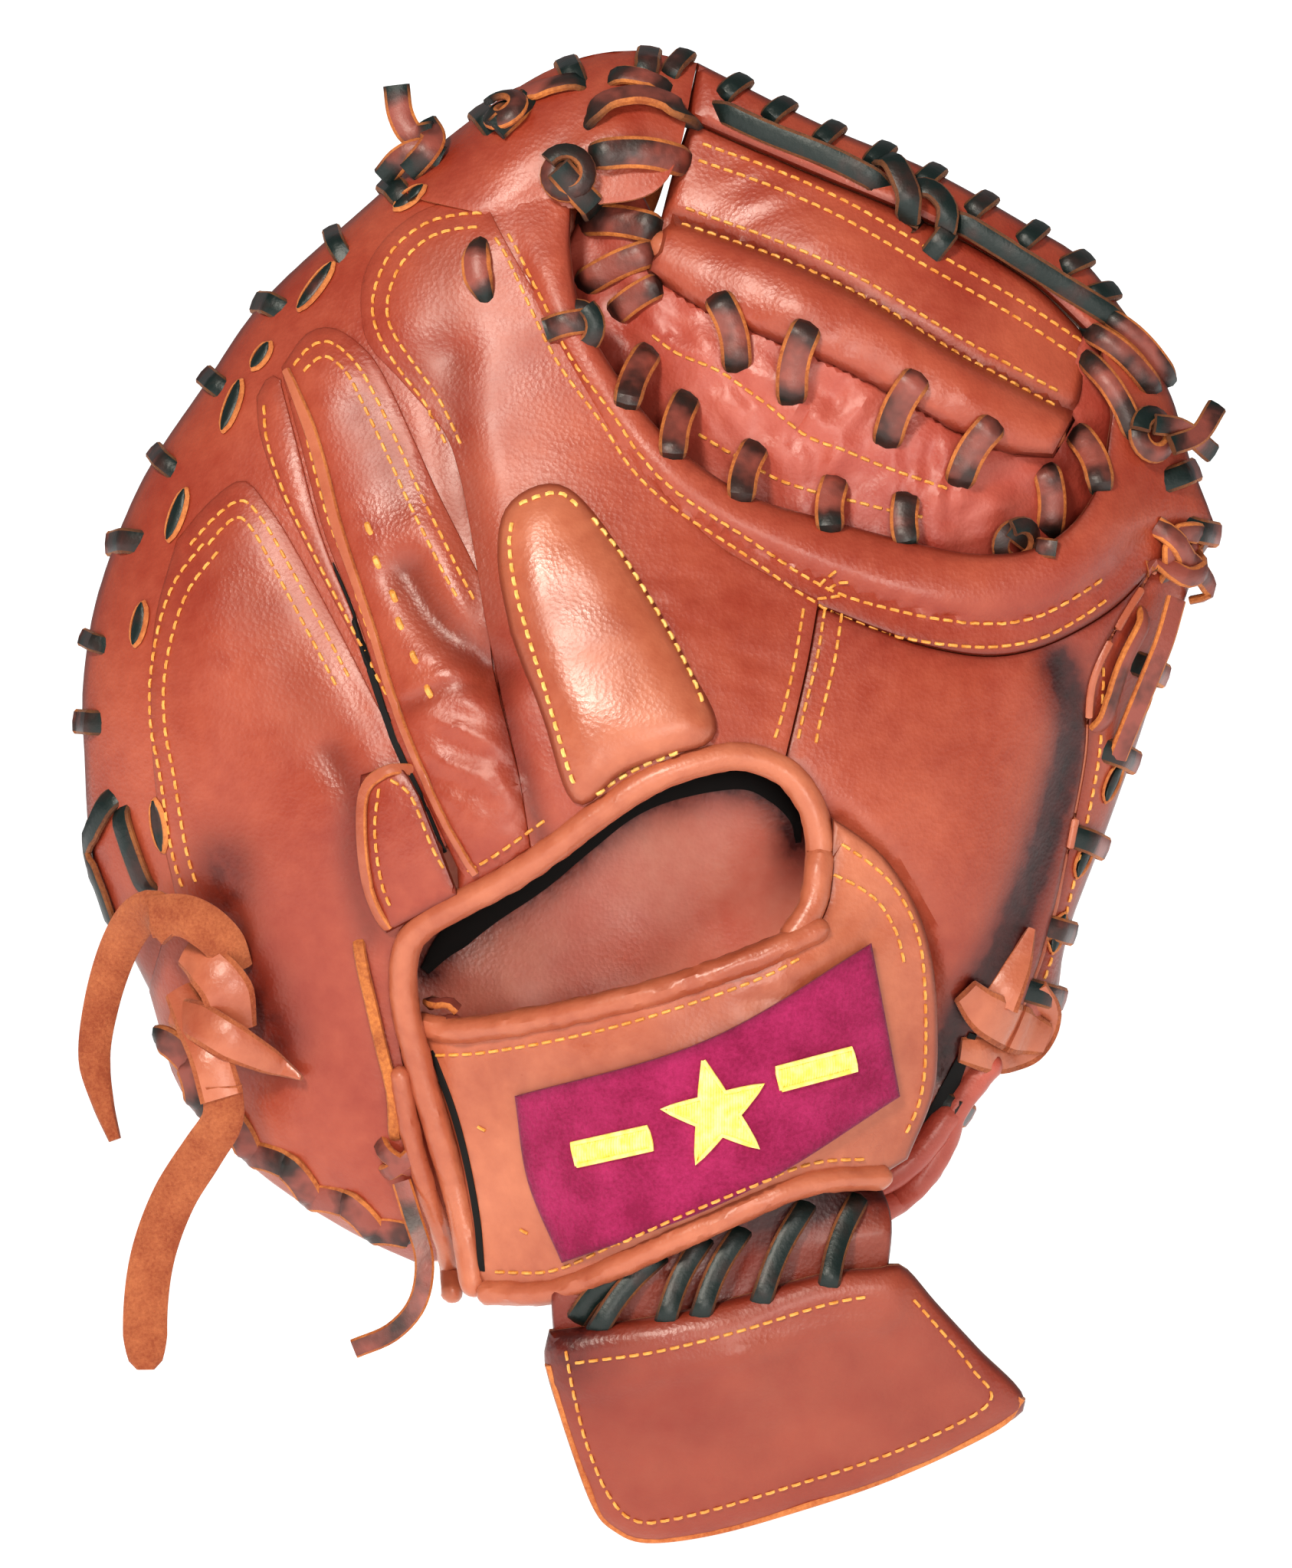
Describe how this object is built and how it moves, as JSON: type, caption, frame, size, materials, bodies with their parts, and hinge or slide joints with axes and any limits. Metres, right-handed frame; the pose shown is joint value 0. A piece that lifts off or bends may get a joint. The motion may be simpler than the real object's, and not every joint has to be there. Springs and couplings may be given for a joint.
{
  "type": "baseball catcher's mitt",
  "caption": "Padded leather catcher's mitt for the left hand, with laced rim and web, ball pocket, padded wrist strap and a hanging wrist flap.",
  "frame": {"origin": "middle of the hand opening in the back of the mitt", "axes": "+Z towards the fingertips, -Y the way the back of the hand faces, +X towards the thumb"},
  "size_m": [0.2742, 0.0906, 0.3522],
  "materials": {
    "shell_leather": "oiled full-grain leather, rust red",
    "tan_leather": "smooth full-grain leather, orange tan",
    "lining_leather": "soft matt lining leather, rose brown",
    "edge_leather": "crinkled leather with raw tan edges",
    "lace_leather": "dark waxed rawhide lace",
    "suede": "napped tan suede",
    "felt": "dense wool felt",
    "patch_felt": "magenta felt with gold embroidery"
  },
  "bodies": {
    "finger_side": {"palm_leather_finger": "shell_leather", "palm_padding_finger": "felt", "heel_padding": "felt", "palm_lining_finger": "lining_leather", "rim_binding_finger": "edge_leather", "back_border": "shell_leather", "pinky_back": "shell_leather", "ring_stall": "shell_leather", "middle_stall": "shell_leather", "index_stall": "shell_leather", "fingertip_panel": "shell_leather", "knuckle_panel": "shell_leather", "thumb_back_inner": "shell_leather", "collar_finger": "shell_leather", "palm_edge_strip": "edge_leather", "index_pad": "tan_leather", "knuckle_guard": "tan_leather", "pinky_stiffener": "felt", "opening_binding": "tan_leather", "heel_roll_finger": "shell_leather", "web_back_panel_finger": "shell_leather", "web_front_panel_finger": "shell_leather", "web_top_strip_finger": "shell_leather", "web_roll_finger": "tan_leather", "rim_lace_finger": "lace_leather", "fingertip_lace": "lace_leather", "web_lace_finger": "lace_leather", "web_bridge_lace_finger": "lace_leather", "wrist_lace": "lace_leather", "wrist_lace_tail": "lace_leather", "pinky_tie_knot": "suede", "pinky_tie_short_tail": "suede", "pinky_tie_long_tail": "suede"},
    "thumb_side": {"palm_leather_thumb": "shell_leather", "palm_padding_thumb": "felt", "palm_lining_thumb": "lining_leather", "rim_binding_thumb": "edge_leather", "thumb_back_outer": "shell_leather", "thumb_outer_panel": "shell_leather", "collar_thumb": "shell_leather", "thumb_stiffener": "felt", "web_back_panel_thumb": "shell_leather", "web_front_panel_thumb": "shell_leather", "web_top_strip_thumb": "shell_leather", "web_roll_thumb": "tan_leather", "rim_lace_thumb": "lace_leather", "web_lace_thumb": "lace_leather", "web_bridge_lace_thumb": "lace_leather", "thumb_edge_tail": "lace_leather", "thumb_tie_knot": "suede"},
    "wrist_strap": {"strap_leather": "tan_leather", "strap_padding": "felt", "strap_lining": "lining_leather", "strap_top_binding": "tan_leather", "strap_low_binding": "tan_leather", "strap_patch": "patch_felt"},
    "wrist_flap": {"flap_face": "shell_leather", "flap_padding": "felt", "flap_back": "shell_leather", "flap_tongue": "shell_leather"}
  },
  "joints": [
    {"name": "thumb_fold", "type": "hinge", "parent": "finger_side", "child": "thumb_side", "pos_m": [0.079, 0.032, -0.067], "axis": [-0.0721, -0.1126, 0.991], "range_deg": [0, 20]},
    {"name": "strap_open", "type": "hinge", "parent": "finger_side", "child": "wrist_strap", "pos_m": [0.073, -0.008, 0], "axis": [0.06, 0, 0.9982], "range_deg": [0, 12]},
    {"name": "flap_swing", "type": "hinge", "parent": "wrist_strap", "child": "wrist_flap", "pos_m": [0.024, -0.0105, -0.095], "axis": [-0.9756, 0, -0.2195], "range_deg": [-45, 12]}
  ]
}
